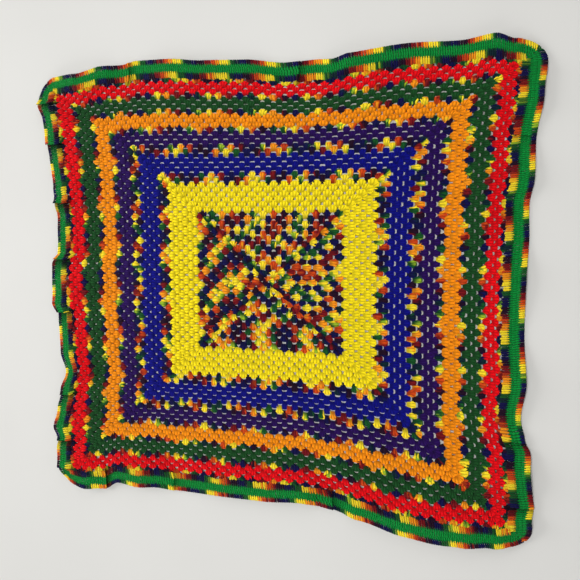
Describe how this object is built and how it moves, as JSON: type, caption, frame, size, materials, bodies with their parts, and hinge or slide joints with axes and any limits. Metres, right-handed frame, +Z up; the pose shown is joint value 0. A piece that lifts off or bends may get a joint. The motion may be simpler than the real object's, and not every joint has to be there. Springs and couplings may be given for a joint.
{
  "type": "granny square blanket",
  "caption": "Crocheted blanket worked in square rounds from the middle, with colour bands, open gaps between the clusters and a dense ribbed edging, laid out with wavy edges.",
  "frame": {"origin": "middle of the blanket's box, on the surface that it lies on", "axes": "+Z up from the surface, +X along the longer side, +Y along the shorter side towards the blanket's upper edge"},
  "size_m": [1.2586, 1.1452, 0.0214],
  "materials": {
    "yarn": "matt worsted acrylic yarn in bands of yellow, blue, purple, orange, dark green, red and green, with a variegated yarn between them"
  },
  "bodies": {
    "root": {"blanket": "yarn"}
  },
  "joints": []
}
